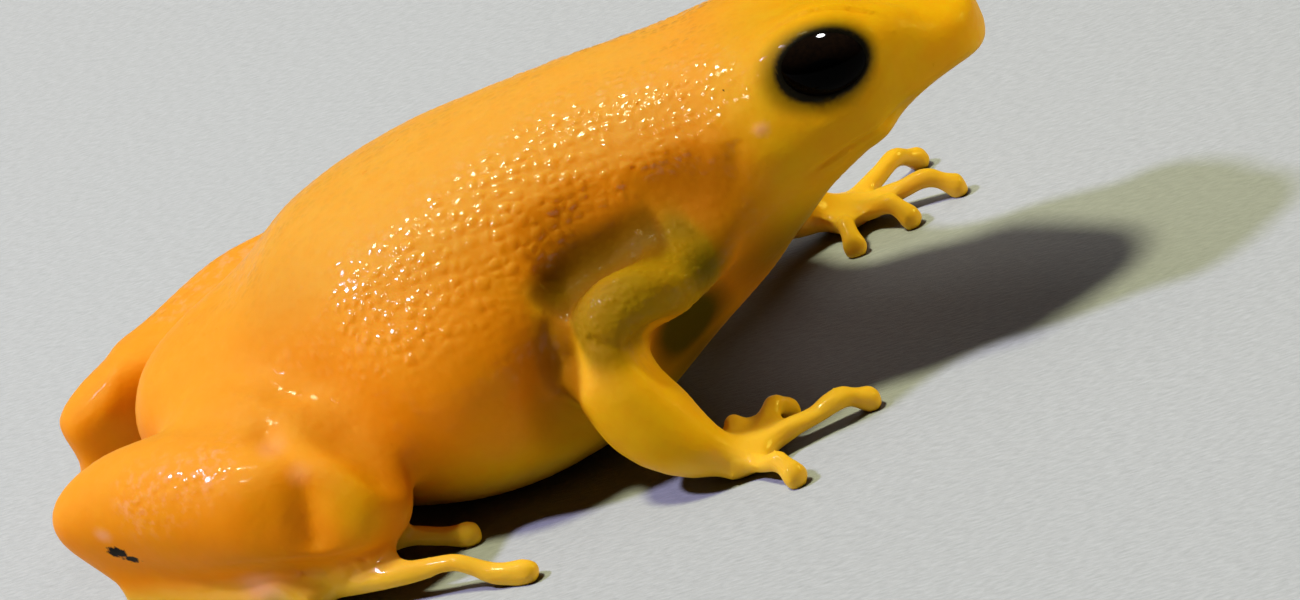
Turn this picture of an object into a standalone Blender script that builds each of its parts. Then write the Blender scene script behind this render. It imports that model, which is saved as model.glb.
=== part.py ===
"""Golden mantella: a life-size model of the frog at rest, low on its belly and haunches.

The frog faces +X, its left side is +Y and it rests on the floor at Z = 0. Every size below is in
millimetres and MM turns it into metres. The trunk and head are one smooth body that a thin cut at
the neck parts. Each limb is a chain of lofted pieces, and each piece is trimmed to lie face to face
on the ones it touches, with a small gap between them. The whole is moved at the end, so that the
origin is under the middle of its bounding box.
"""
import math

import bmesh
import bpy
from mathutils import Matrix, Vector
from mathutils.bvhtree import BVHTree

MM = 0.001
GAP = 0.3                      # gap between two pieces that meet
SLIVER = 0.006                 # edges shorter than this are melted away
SIDES = {"right": -1, "left": 1}

# Trunk and head: (x, height of the widest level, half width, rise above it, drop below it,
# squareness of the lower half, where 2 is an oval).
TRUNK = [
    (-14.6, 3.40, 0.60, 0.60, 0.60, 2.0),
    (-13.9, 3.45, 1.90, 1.45, 1.60, 2.0),
    (-12.5, 3.75, 3.00, 2.15, 2.70, 2.2),
    (-10.8, 4.10, 3.90, 2.80, 3.60, 2.5),
    (-8.8, 4.30, 4.80, 3.75, 4.30, 2.8),
    (-6.6, 4.50, 5.70, 4.55, 4.75, 3.1),
    (-4.2, 4.70, 5.90, 4.90, 4.95, 3.2),
    (-1.8, 5.20, 5.25, 4.65, 4.90, 2.9),
    (0.6, 5.80, 4.40, 4.20, 4.20, 2.4),
    (2.8, 6.30, 4.10, 3.90, 3.45, 2.2),
    (5.0, 6.80, 4.15, 3.60, 2.30, 2.2),
    (7.0, 7.10, 3.70, 3.10, 1.40, 2.2),
    (8.7, 7.40, 2.90, 2.45, 0.75, 2.2),
    (9.9, 7.70, 2.05, 1.55, 0.65, 2.2),
    (10.55, 7.90, 1.35, 0.95, 0.75, 2.2),
    (10.85, 7.95, 0.60, 0.45, 0.40, 2.0),
]
TRUNK_SIDES = 40
TRUNK_STEPS = 4                # rings made in each interval of the table
TRUNK_VOXEL = 0.24
TRUNK_SMOOTHING = 5
TRUNK_TRIANGLES = 4400
NECK = (4.0, 6.0)              # x and z that the cut between head and torso passes through
NECK_LEAN = -12.0              # degrees that the cut leans forward at its top

# Mounds that round out the body: (x, y outwards, z) and half sizes along x, y and z.
EYE_MOUND = ((6.85, 2.30, 8.88), (2.05, 1.55, 1.50))
SHOULDER_MOUND = ((2.2, 2.5, 6.0), (2.3, 1.9, 1.9))
HAUNCH_MOUND = ((-10.9, 2.4, 3.6), (2.7, 2.3, 2.1))
THROAT_MOUND = ((5.0, 0.0, 6.50), (2.9, 2.9, 2.10))

EGG_SEGMENTS = 20
EGG_LEVELS = 12

EYE_CENTRE = (6.88, 2.75, 8.96)
EYE_SIZE = (1.35, 1.20, 1.02)
EYE_GAP = 0.20
LID_OPENING = (1.48, 1.16)     # half length and half height of the ring of lid
LID_UPPER = 0.22               # radius of the ring at the top, and below at the bottom
LID_LOWER = 0.17
RING_STEPS = 20                # points around a lid or an eardrum

EARDRUM = (4.55, 7.95)         # x and z of its centre, on the side of the head
EARDRUM_RADIUS = 0.62
EARDRUM_RIM = 0.13
NOSTRIL = (9.95, 8.75)         # x and z, on the side of the snout
NOSTRIL_RADIUS = 0.16
MOUTH_CENTRE = (7.0, 0.0)      # the line of the mouth is laid out around this point
MOUTH_FRONT = 8.10             # its height at the front of the snout, and at its corners
MOUTH_CORNER = 6.75
MOUTH_REACH = 124              # degrees from the front to each corner
MOUTH_BEND = 1.3               # how late along its way the line drops to the corners
MOUTH_STEPS = 16
MOUTH_WIDTH = 0.11             # radius of the groove
LIP_RADIUS = 0.42
LIP_INSET = 0.25               # how far behind the line of the mouth the upper lip lies
LIP_RISE = 0.34                # and how far above it
LIP_SPREAD = 0.92              # share of the width of the line of the mouth
RAY_START = 9.0                # distance outside the skin from which points are laid on it

# Pieces of the hind leg: (x, y outwards, z, half width, half height).
THIGH = {
    "right": [
        (-12.4, 1.6, 4.0, 1.00, 1.20),
        (-11.6, 3.2, 3.9, 1.70, 1.80),
        (-10.2, 4.6, 3.6, 1.80, 1.85),
        (-8.9, 5.9, 3.0, 1.65, 1.70),
        (-7.9, 7.1, 2.6, 1.50, 1.60),
        (-7.2, 7.9, 2.5, 0.80, 0.90),
    ],
    "left": [
        (-12.4, 1.6, 3.8, 1.00, 1.20),
        (-11.6, 3.2, 3.8, 1.70, 1.70),
        (-10.3, 5.0, 3.5, 1.80, 1.75),
        (-8.9, 7.0, 3.2, 1.65, 1.65),
        (-7.8, 8.6, 3.1, 1.50, 1.55),
        (-7.1, 9.6, 3.0, 0.80, 0.90),
    ],
}
SHANK = {
    "right": [
        (-7.4, 8.0, 2.6, 0.80, 0.90),
        (-8.6, 7.6, 2.7, 1.50, 1.60),
        (-10.6, 6.5, 3.0, 1.75, 1.90),
        (-12.7, 5.3, 3.2, 1.80, 2.00),
        (-14.7, 4.3, 3.1, 1.45, 1.65),
        (-16.0, 3.7, 2.7, 1.05, 1.25),
        (-16.7, 3.4, 2.6, 0.50, 0.60),
    ],
    "left": [
        (-7.3, 9.6, 3.0, 0.80, 0.90),
        (-8.4, 9.2, 3.1, 1.50, 1.55),
        (-10.7, 7.8, 3.25, 1.75, 1.80),
        (-13.2, 6.1, 3.25, 1.80, 1.80),
        (-15.4, 4.6, 3.1, 1.45, 1.55),
        (-16.8, 3.7, 2.7, 1.05, 1.20),
        (-17.5, 3.3, 2.6, 0.50, 0.60),
    ],
}
TARSUS = {
    "right": [
        (-16.5, 3.5, 1.70, 0.60, 0.70),
        (-15.5, 4.0, 1.20, 0.95, 0.95),
        (-13.8, 5.1, 0.75, 0.90, 0.80),
        (-12.2, 6.0, 0.50, 0.95, 0.62),
        (-11.0, 6.6, 0.40, 0.85, 0.48),
    ],
    "left": [
        (-17.3, 3.4, 1.70, 0.60, 0.70),
        (-16.3, 3.9, 1.20, 0.95, 0.95),
        (-14.5, 5.1, 0.75, 0.90, 0.80),
        (-12.7, 6.0, 0.50, 0.95, 0.62),
        (-11.4, 6.6, 0.40, 0.85, 0.48),
    ],
}
# Toes, inner to outer: the root, then the tip, both (x, y outwards).
TOES = {
    "right": [
        ((-12.2, 5.4), (-10.8, 4.1)),
        ((-11.6, 5.8), (-8.3, 4.6)),
        ((-11.2, 6.2), (-5.6, 6.0)),
        ((-11.1, 6.7), (-4.1, 9.5)),
        ((-12.4, 6.5), (-10.0, 7.9)),
    ],
    "left": [
        ((-12.6, 5.4), (-11.2, 4.1)),
        ((-12.0, 5.8), (-8.7, 4.6)),
        ((-11.6, 6.2), (-6.0, 6.0)),
        ((-11.5, 6.7), (-4.6, 9.8)),
        ((-12.8, 6.5), (-10.4, 7.9)),
    ],
}

# Pieces of each arm; the left hand reaches further forward than the right one.
UPPER_ARM = {
    "right": [
        (3.2, 2.2, 5.9, 1.10, 1.20),
        (2.2, 3.9, 5.8, 1.40, 1.40),
        (0.6, 5.1, 5.2, 1.25, 1.25),
        (-0.6, 5.6, 4.5, 1.20, 1.20),
        (-1.3, 5.8, 4.1, 0.80, 0.80),
    ],
    "left": [
        (3.2, 2.2, 5.9, 1.10, 1.20),
        (2.5, 3.9, 5.7, 1.40, 1.40),
        (1.5, 5.4, 5.1, 1.25, 1.25),
        (0.6, 6.2, 4.4, 1.20, 1.20),
        (0.0, 6.5, 4.0, 0.75, 0.75),
    ],
}
FOREARM = {
    "right": [
        (-1.05, 5.8, 4.5, 0.50, 0.50),
        (-1.05, 5.8, 3.8, 1.15, 1.15),
        (-0.6, 6.1, 2.8, 1.35, 1.30),
        (0.1, 6.5, 1.7, 1.20, 1.10),
        (0.9, 6.75, 1.0, 0.85, 0.80),
        (1.4, 6.7, 0.7, 0.55, 0.55),
    ],
    "left": [
        (0.1, 6.4, 4.4, 0.50, 0.50),
        (0.4, 6.5, 3.8, 1.15, 1.15),
        (1.5, 6.7, 2.7, 1.35, 1.30),
        (2.8, 7.0, 1.7, 1.20, 1.10),
        (4.0, 7.4, 1.0, 0.85, 0.80),
        (4.6, 7.6, 0.7, 0.55, 0.55),
    ],
}
PALM = {
    "right": [
        (0.7, 6.9, 0.80, 0.50, 0.50),
        (1.3, 6.75, 0.60, 0.80, 0.66),
        (1.9, 6.5, 0.42, 0.85, 0.54),
        (2.5, 6.3, 0.38, 0.60, 0.42),
    ],
    "left": [
        (3.9, 7.4, 0.80, 0.50, 0.50),
        (4.5, 7.6, 0.60, 0.80, 0.66),
        (5.1, 7.75, 0.42, 0.85, 0.54),
        (5.7, 7.9, 0.38, 0.60, 0.42),
    ],
}
# Fingers, inner to outer: the root, then the tip, both (x, y outwards).
FINGERS = {
    "right": [
        ((1.7, 6.3), (1.7, 4.7)),
        ((2.1, 6.2), (3.2, 4.1)),
        ((2.3, 6.3), (5.55, 5.0)),
        ((1.9, 6.8), (3.3, 8.6)),
    ],
    "left": [
        ((4.9, 7.3), (5.3, 5.2)),
        ((5.3, 7.5), (7.1, 6.1)),
        ((5.6, 7.8), (8.6, 7.5)),
        ((5.2, 8.1), (7.5, 10.6)),
    ],
}
# Along a digit: (share of its length, height of its middle, radius).
FINGER_FORM = [
    (-0.10, 0.40, 0.34),
    (0.12, 0.44, 0.37),
    (0.45, 0.62, 0.31),
    (0.68, 0.78, 0.32),
    (0.83, 0.48, 0.28),
    (0.94, 0.26, 0.39),
    (1.00, 0.24, 0.24),
]
TOE_FORM = [
    (-0.10, 0.40, 0.36),
    (0.10, 0.44, 0.38),
    (0.45, 0.62, 0.33),
    (0.66, 0.78, 0.32),
    (0.82, 0.46, 0.29),
    (0.95, 0.26, 0.38),
    (1.00, 0.24, 0.22),
]
LIMB_SIDES = 16
LIMB_STEPS = 2
DIGIT_STEPS = 3
CORD_ROUNDNESS = 2             # bevel resolution of cords, toes and fingers
DIGIT_VOXEL = 0.12
DIGIT_SMOOTHING = 2
HAND_TRIANGLES = 800
FOOT_TRIANGLES = 950
FLOOR_SIZE = 60.0              # side and depth of the block that trims the soles flat
FLOOR_DEPTH = 4.0

GOLD = (0.90, 0.42, 0.03, 1.0)
YELLOW = (0.85, 0.50, 0.04, 1.0)
BLACK = (0.01, 0.01, 0.01, 1.0)


def clear_scene():
    """Empties the scene and makes the collections for the frog and for the tools that cut it."""
    for obj in list(bpy.data.objects):
        bpy.data.objects.remove(obj, do_unlink=True)
    scene = bpy.context.scene
    for name in ("golden_mantella", "cutters"):
        scene.collection.children.link(bpy.data.collections.new(name))


def make_material(name, colour, roughness):
    material = bpy.data.materials.new(name)
    material.use_nodes = True
    shader = material.node_tree.nodes["Principled BSDF"]
    shader.inputs["Base Color"].default_value = colour
    shader.inputs["Roughness"].default_value = roughness
    return material


def new_object(name, mesh, material, collection="golden_mantella"):
    """Turns a bmesh into an object with the given name and material."""
    data = bpy.data.meshes.new(name)
    mesh.to_mesh(data)
    mesh.free()
    data.materials.append(material)
    obj = bpy.data.objects.new(name, data)
    bpy.data.collections[collection].objects.link(obj)
    if collection == "cutters":
        obj.hide_render = True
        obj.display_type = "WIRE"
    return obj


def smooth_rows(rows, steps):
    """The rows with `steps` new ones in each interval, on a Catmull-Rom curve through them."""
    vectors = [Vector(row) for row in rows]
    made = []
    for i in range(len(vectors) - 1):
        a, b = vectors[i], vectors[i + 1]
        tangent_a = (b - vectors[max(i - 1, 0)]) / 2
        tangent_b = (vectors[min(i + 2, len(vectors) - 1)] - a) / 2
        for step in range(steps):
            t = step / steps
            made.append(
                a * (2 * t**3 - 3 * t**2 + 1)
                + tangent_a * (t**3 - 2 * t**2 + t)
                + b * (3 * t**2 - 2 * t**3)
                + tangent_b * (t**3 - t**2)
            )
    return made + [vectors[-1]]


def signed_power(value, exponent):
    return math.copysign(abs(value) ** exponent, value)


def loft(name, rows, sides, steps, material):
    """A closed body through rings: centre x, y, z, half width, rise, drop, lower squareness."""
    rows = smooth_rows(rows, steps)
    centres = [Vector(row[:3]) * MM for row in rows]
    rings = []
    for i, row in enumerate(rows):
        along = centres[min(i + 1, len(rows) - 1)] - centres[max(i - 1, 0)]
        across = along.cross(Vector((0, 0, 1))).normalized()
        upward = across.cross(along).normalized()
        half_width, rise, drop = (value * MM for value in row[3:6])
        ring = []
        for k in range(sides):
            angle = 2 * math.pi * k / sides
            cosine, sine = math.cos(angle), math.sin(angle)
            power = 2 / row[6] if sine < 0 else 1.0
            out = signed_power(cosine, power) * half_width
            height = signed_power(sine, power) * (rise if sine > 0 else drop)
            ring.append(centres[i] + across * out + upward * height)
        rings.append(ring)
    mesh = bmesh.new()
    rings = [[mesh.verts.new(point) for point in ring] for ring in rings]
    for first, second in zip(rings, rings[1:]):
        for k in range(sides):
            following = (k + 1) % sides
            mesh.faces.new((first[k], first[following], second[following], second[k]))
    mesh.faces.new(rings[0])
    mesh.faces.new(rings[-1])
    bmesh.ops.recalc_face_normals(mesh, faces=mesh.faces)
    return new_object(name, mesh, material)


def cord(name, points, radii, closed, material, collection="cutters"):
    """A round cord through the points (metres), with its own radius (millimetres) at each."""
    data = bpy.data.curves.new(name, "CURVE")
    data.dimensions = "3D"
    data.bevel_depth = MM
    data.bevel_resolution = CORD_ROUNDNESS
    data.use_fill_caps = not closed
    spline = data.splines.new("POLY")
    spline.points.add(len(points) - 1)
    spline.use_cyclic_u = closed
    for control, point, radius in zip(spline.points, points, radii):
        control.co = (*point, 1.0)
        control.radius = radius
    curve = bpy.data.objects.new(name + "_curve", data)
    bpy.data.collections[collection].objects.link(curve)
    graph = bpy.context.evaluated_depsgraph_get()
    mesh = bmesh.new()
    mesh.from_mesh(bpy.data.meshes.new_from_object(curve.evaluated_get(graph)))
    bmesh.ops.remove_doubles(mesh, verts=mesh.verts, dist=SLIVER * MM)
    bmesh.ops.recalc_face_normals(mesh, faces=mesh.faces)
    bpy.data.objects.remove(curve, do_unlink=True)
    return new_object(name, mesh, material, collection)


def egg(name, centre, size, material, collection="cutters"):
    """An egg-shaped lump with the given half sizes."""
    mesh = bmesh.new()
    place = Matrix.LocRotScale(Vector(centre) * MM, None, Vector(size) * MM)
    bmesh.ops.create_uvsphere(
        mesh, u_segments=EGG_SEGMENTS, v_segments=EGG_LEVELS, radius=1.0, matrix=place
    )
    return new_object(name, mesh, material, collection)


def on_side(place, side):
    """The place on one side of the body, from one that is written with y outwards."""
    x, y, z = place
    return (x, y * SIDES[side], z)


def apply_modifiers(obj):
    graph = bpy.context.evaluated_depsgraph_get()
    data = bpy.data.meshes.new_from_object(obj.evaluated_get(graph))
    obj.modifiers.clear()
    obj.data = data


def fuse_slivers(mesh):
    """Melts away edges too short to matter, and the folded pairs of faces that they leave."""
    bmesh.ops.remove_doubles(mesh, verts=mesh.verts, dist=SLIVER * MM)
    bmesh.ops.dissolve_degenerate(mesh, edges=mesh.edges, dist=SLIVER * MM)
    bmesh.ops.triangulate(mesh, faces=mesh.faces)
    twins = {}
    for face in mesh.faces:
        twins.setdefault(frozenset(face.verts), []).append(face)
    flaps = [face for group in twins.values() if len(group) > 1 for face in group]
    bmesh.ops.delete(mesh, geom=flaps, context="FACES")
    while flaps := [f for f in mesh.faces if sum(edge.is_boundary for edge in f.edges) > 1]:
        bmesh.ops.delete(mesh, geom=flaps, context="FACES")
    loose = [vert for vert in mesh.verts if not vert.link_faces]
    bmesh.ops.delete(mesh, geom=loose, context="VERTS")


def keep_largest(obj):
    """Leaves only the largest closed surface of the object."""
    mesh = bmesh.new()
    mesh.from_mesh(obj.data)
    fuse_slivers(mesh)
    unseen = set(mesh.verts)
    groups = []
    while unseen:
        stack = [unseen.pop()]
        group = set(stack)
        while stack:
            for edge in stack.pop().link_edges:
                for vert in edge.verts:
                    if vert in unseen:
                        unseen.remove(vert)
                        group.add(vert)
                        stack.append(vert)
        groups.append(group)
    groups.sort(key=len)
    for group in groups[:-1]:
        bmesh.ops.delete(mesh, geom=list(group), context="VERTS")
    mesh.to_mesh(obj.data)
    mesh.free()


def combine(obj, others, operation):
    """One Boolean of the object with all the others, applied; the others are then removed."""
    group = bpy.data.collections.new(obj.name + "_with")
    bpy.context.scene.collection.children.link(group)
    for other in others:
        group.objects.link(other)
    boolean = obj.modifiers.new("combine", "BOOLEAN")
    boolean.operation = operation
    boolean.operand_type = "COLLECTION"
    boolean.collection = group
    boolean.solver = "EXACT"
    apply_modifiers(obj)
    for other in others:
        bpy.data.objects.remove(other, do_unlink=True)
    bpy.data.collections.remove(group)
    keep_largest(obj)
    return obj


def melt(obj, voxel, smoothing, triangles):
    """Turns the joined lumps into one skin, thinned to about the given count of triangles."""
    remesh = obj.modifiers.new("melt", "REMESH")
    remesh.mode = "VOXEL"
    remesh.voxel_size = voxel * MM
    smooth = obj.modifiers.new("smooth", "SMOOTH")
    smooth.factor = 0.5
    smooth.iterations = smoothing
    apply_modifiers(obj)
    decimate = obj.modifiers.new("thin", "DECIMATE")
    decimate.ratio = triangles / (2 * len(obj.data.polygons))
    apply_modifiers(obj)
    keep_largest(obj)
    return obj


def grown(obj, distance):
    """A cutter in the shape of the object, with its surface `distance` further out."""
    copy = bpy.data.objects.new(obj.name + "_grown", obj.data.copy())
    bpy.data.collections["cutters"].objects.link(copy)
    displace = copy.modifiers.new("grow", "DISPLACE")
    displace.mid_level = 0.0
    displace.strength = distance * MM
    apply_modifiers(copy)
    return copy


def trim(obj, neighbours):
    """Cuts the object clear of its neighbours, and leaves GAP between them."""
    return combine(obj, [grown(other, GAP) for other in neighbours], "DIFFERENCE")


def trim_sole(obj):
    """Cuts off what dips under the floor, which leaves a small flat at its level."""
    mesh = bmesh.new()
    middle = Vector((0, 0, -FLOOR_DEPTH / 2)) * MM
    place = Matrix.LocRotScale(middle, None, Vector((FLOOR_SIZE, FLOOR_SIZE, FLOOR_DEPTH)) * MM)
    bmesh.ops.create_cube(mesh, size=1.0, matrix=place)
    block = new_object("floor_block", mesh, obj.data.materials[0], "cutters")
    return combine(obj, [block], "DIFFERENCE")


def surface_point(tree, start, direction):
    """Where a ray from `start` (metres) first meets the skin."""
    hit = tree.ray_cast(start, direction)[0]
    return hit if hit else start


def skin_tree(obj):
    mesh = bmesh.new()
    mesh.from_mesh(obj.data)
    tree = BVHTree.FromBMesh(mesh)
    mesh.free()
    return tree


def mouth_points(tree):
    """Points of the line of the mouth on the skin, from the right corner round to the left."""
    points = []
    for i in range(-MOUTH_STEPS, MOUTH_STEPS + 1):
        share = i / MOUTH_STEPS
        angle = math.radians(MOUTH_REACH) * share
        height = MOUTH_FRONT + (MOUTH_CORNER - MOUTH_FRONT) * abs(share) ** MOUTH_BEND
        direction = Vector((math.cos(angle), math.sin(angle), 0))
        centre = Vector((MOUTH_CENTRE[0], MOUTH_CENTRE[1], height)) * MM
        points.append(surface_point(tree, centre + direction * RAY_START * MM, -direction))
    return points


def build_trunk(gold):
    """Torso and head as one body, with the swellings of eyes, throat, lips and limb roots."""
    rows = [(x, 0.0, z, width, rise, drop, square) for x, z, width, rise, drop, square in TRUNK]
    trunk = loft("torso", rows, TRUNK_SIDES, TRUNK_STEPS, gold)
    centre, size = THROAT_MOUND
    mounds = [egg("throat", centre, size, gold)]
    for side in SIDES:
        for label, (centre, size) in {
            "brow": EYE_MOUND, "shoulder": SHOULDER_MOUND, "haunch": HAUNCH_MOUND,
        }.items():
            mounds.append(egg(f"{label}_{side}", on_side(centre, side), size, gold))
    line = mouth_points(skin_tree(trunk))
    lip = [Vector((p.x - LIP_INSET * MM, p.y * LIP_SPREAD, p.z + LIP_RISE * MM)) for p in line]
    mounds.append(cord("lip", lip, [LIP_RADIUS] * len(lip), False, gold))
    combine(trunk, mounds, "UNION")
    return melt(trunk, TRUNK_VOXEL, TRUNK_SMOOTHING, TRUNK_TRIANGLES)


def part_head(trunk):
    """Cuts the trunk at the neck and returns the head; the torso keeps the trunk's object."""
    lean = math.radians(NECK_LEAN)
    normal = Vector((math.cos(lean), 0, -math.sin(lean)))
    head = bpy.data.objects.new("head", trunk.data.copy())
    bpy.data.collections["golden_mantella"].objects.link(head)
    for obj, sign in ((trunk, -1), (head, 1)):
        mesh = bmesh.new()
        mesh.from_mesh(obj.data)
        through = Vector((NECK[0], 0, NECK[1])) * MM + normal * sign * GAP / 2 * MM
        cut = bmesh.ops.bisect_plane(
            mesh,
            geom=list(mesh.verts) + list(mesh.edges) + list(mesh.faces),
            plane_co=through,
            plane_no=normal,
            clear_outer=sign < 0,
            clear_inner=sign > 0,
        )
        rim = [item for item in cut["geom_cut"] if isinstance(item, bmesh.types.BMEdge)]
        bmesh.ops.holes_fill(mesh, edges=rim)
        bmesh.ops.recalc_face_normals(mesh, faces=mesh.faces)
        mesh.to_mesh(obj.data)
        mesh.free()
    return head


def skin_ring(name, side, tree, centre, reach, radii, gold):
    """A ring laid on the side of the head; its radius goes from the first value, at the bottom,
    to the second, at the top."""
    points, thickness = [], []
    for k in range(RING_STEPS):
        angle = 2 * math.pi * k / RING_STEPS
        x = centre[0] + reach[0] * math.cos(angle)
        z = centre[1] + reach[1] * math.sin(angle)
        start = Vector((x, SIDES[side] * RAY_START, z)) * MM
        points.append(surface_point(tree, start, Vector((0, -SIDES[side], 0))))
        share = (1 + math.sin(angle)) / 2
        thickness.append(radii[0] + (radii[1] - radii[0]) * share)
    return cord(f"{name}_{side}", points, thickness, True, gold)


def build_face(head, gold, black):
    """Lids, eardrums, mouth and nostrils on the head, and the eyes in their sockets."""
    tree = skin_tree(head)
    rims = []
    hollows = []
    for side in SIDES:
        eye = (EYE_CENTRE[0], EYE_CENTRE[2])
        rims.append(skin_ring("lid", side, tree, eye, LID_OPENING, (LID_LOWER, LID_UPPER), gold))
        reach, radii = [EARDRUM_RADIUS] * 2, [EARDRUM_RIM] * 2
        rims.append(skin_ring("eardrum", side, tree, EARDRUM, reach, radii, gold))
        centre = on_side(EYE_CENTRE, side)
        egg(f"eye_{side}", centre, EYE_SIZE, black, "golden_mantella")
        socket = [size + EYE_GAP for size in EYE_SIZE]
        hollows.append(egg(f"socket_{side}", centre, socket, gold))
        start = Vector((NOSTRIL[0], SIDES[side] * RAY_START, NOSTRIL[1])) * MM
        place = surface_point(tree, start, Vector((0, -SIDES[side], 0))) / MM
        hollows.append(egg(f"nostril_{side}", place, [NOSTRIL_RADIUS] * 3, gold))
    line = mouth_points(tree)
    hollows.append(cord("mouth", line, [MOUTH_WIDTH] * len(line), False, gold))
    combine(head, rims, "UNION")
    return combine(head, hollows, "DIFFERENCE")


def limb_piece(name, rows, side, material):
    """One lofted piece of a limb, on one side of the body."""
    full = [on_side(row[:3], side) + (row[3], row[4], row[4], 2.0) for row in rows]
    return loft(name, full, LIMB_SIDES, LIMB_STEPS, material)


def digit(name, root, tip, form, side, material):
    """A finger or toe that arches over its knuckle and ends in a small pad."""
    start, end = Vector(root), Vector(tip)
    points, radii = [], []
    for share, height, radius in smooth_rows(form, DIGIT_STEPS):
        place = start.lerp(end, share)
        points.append(Vector(on_side((place.x, place.y, height), side)) * MM)
        radii.append(radius)
    return cord(name, points, radii, False, material)


def build_leg(side, torso, gold, yellow):
    """Thigh, shank and foot, folded along each other."""
    thigh = limb_piece(f"thigh_{side}", THIGH[side], side, gold)
    trim(thigh, [torso])
    shank = limb_piece(f"shank_{side}", SHANK[side], side, gold)
    trim(shank, [torso, thigh])
    foot = limb_piece(f"foot_{side}", TARSUS[side], side, yellow)
    toes = [
        digit(f"toe_{i}_{side}", root, tip, TOE_FORM, side, yellow)
        for i, (root, tip) in enumerate(TOES[side], 1)
    ]
    combine(foot, toes, "UNION")
    melt(foot, DIGIT_VOXEL, DIGIT_SMOOTHING, FOOT_TRIANGLES)
    trim(foot, [thigh, shank, torso])
    return [thigh, shank, foot]


def build_arm(side, torso, head, gold, yellow):
    """Upper arm, forearm and hand."""
    upper = limb_piece(f"upper_arm_{side}", UPPER_ARM[side], side, gold)
    trim(upper, [torso, head])
    forearm = limb_piece(f"forearm_{side}", FOREARM[side], side, yellow)
    trim(forearm, [torso, upper])
    hand = limb_piece(f"hand_{side}", PALM[side], side, yellow)
    fingers = [
        digit(f"finger_{i}_{side}", root, tip, FINGER_FORM, side, yellow)
        for i, (root, tip) in enumerate(FINGERS[side], 1)
    ]
    combine(hand, fingers, "UNION")
    melt(hand, DIGIT_VOXEL, DIGIT_SMOOTHING, HAND_TRIANGLES)
    trim(hand, [forearm])
    return [upper, forearm, hand]


def centre_on_origin():
    """Moves every mesh sideways, so that the origin is under the middle of the whole."""
    objects = list(bpy.data.collections["golden_mantella"].objects)
    corners = [vertex.co for obj in objects for vertex in obj.data.vertices]
    shift = Vector((
        -(min(c.x for c in corners) + max(c.x for c in corners)) / 2,
        -(min(c.y for c in corners) + max(c.y for c in corners)) / 2,
        0,
    ))
    for obj in objects:
        obj.data.transform(Matrix.Translation(shift))


def main():
    clear_scene()
    gold = make_material("gold_skin", GOLD, 0.40)
    yellow = make_material("yellow_skin", YELLOW, 0.40)
    black = make_material("eye_black", BLACK, 0.05)
    torso = build_trunk(gold)
    head = part_head(torso)
    build_face(head, gold, black)
    resting = [torso]
    for side in SIDES:
        resting += build_leg(side, torso, gold, yellow)
        resting += build_arm(side, torso, head, gold, yellow)
    for piece in resting:
        if min(vertex.co.z for vertex in piece.data.vertices) < 0:
            trim_sole(piece)
    centre_on_origin()


main()
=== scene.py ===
"""A golden mantella at rest on a pale floor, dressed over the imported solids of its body.

One unbroken skin stands for every piece of flesh, and each eye is a wet black globe of its own.
The skin is melted together from copies of the solids, then worked over as a sculptor would: broad
forms and folds first, then the lids and fine creases, and the grain of the back last. Lengths in the
classes are millimetres, measured in the body's own layout, with x forwards, y to the left and z up.
Its place in the frame comes from the boxes of the two eyes.
"""
import logging  # noqa: E402
import math  # noqa: E402
from dataclasses import dataclass, field  # noqa: E402
from enum import Enum  # noqa: E402
from typing import Iterable  # noqa: E402

import bpy  # noqa: E402
import numpy as np  # noqa: E402
from mathutils import Matrix, Vector  # noqa: E402


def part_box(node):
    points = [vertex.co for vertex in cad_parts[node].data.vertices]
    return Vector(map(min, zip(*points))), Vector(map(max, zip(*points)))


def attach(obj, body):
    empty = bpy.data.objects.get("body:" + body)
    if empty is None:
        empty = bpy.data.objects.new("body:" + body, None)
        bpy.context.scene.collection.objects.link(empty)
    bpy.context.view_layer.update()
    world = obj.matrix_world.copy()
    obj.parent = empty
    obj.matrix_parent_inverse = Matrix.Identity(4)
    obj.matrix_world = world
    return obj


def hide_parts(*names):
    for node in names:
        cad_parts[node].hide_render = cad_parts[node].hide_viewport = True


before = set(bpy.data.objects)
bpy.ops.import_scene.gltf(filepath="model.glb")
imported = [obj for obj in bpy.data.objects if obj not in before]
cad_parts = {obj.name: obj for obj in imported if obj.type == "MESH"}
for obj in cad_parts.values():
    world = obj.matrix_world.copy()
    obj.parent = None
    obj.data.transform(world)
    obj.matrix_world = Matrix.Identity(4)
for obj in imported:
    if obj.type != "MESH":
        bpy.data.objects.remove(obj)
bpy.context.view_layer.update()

LOG = logging.getLogger("golden_mantella")
MM = 0.001
Point = tuple[float, float, float]
Span = tuple[float, float]
Tree = bpy.types.NodeTree
Socket = bpy.types.NodeSocket
EYE_MIDDLE: Point = (6.88, 2.75, 8.96)      # the left eye's place in the layout; the right one mirrors it
GLOBE_SIZE: Point = (1.35, 1.20, 1.02)      # half sizes of an eye's globe
GLOBE_TILT = 2.0                            # degrees that its long axis rises towards the snout
CELL_PRIMES = (73856093, 19349663, 83492791)        # mix the three numbers of a cell into one key
KEY_FACTOR, KEY_STEP, KEY_BITS = 1103515245, 12345, 0x7FFFFFFF      # turn a key into the next one


class Side(Enum):
    """A side of the body, with the sign of its Y."""

    RIGHT = -1
    LEFT = 1


def layout_origin() -> np.ndarray:
    """Finds the body's layout origin in the frame from the boxes of the eyes.

    Returns:
        The origin, in millimetres.
    """
    corners = [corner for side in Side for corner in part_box(f"eye_{side.name.lower()}")]
    middle = sum(corners, Vector()) / len(corners) / MM
    return np.array([middle.x - EYE_MIDDLE[0], middle.y, 0.0])


ORIGIN = layout_origin()


def to_frame(point: Point) -> Vector:
    """Turns a layout point in millimetres into a frame point in metres."""
    return Vector([float(a + b) * MM for a, b in zip(point, ORIGIN)])


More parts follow.
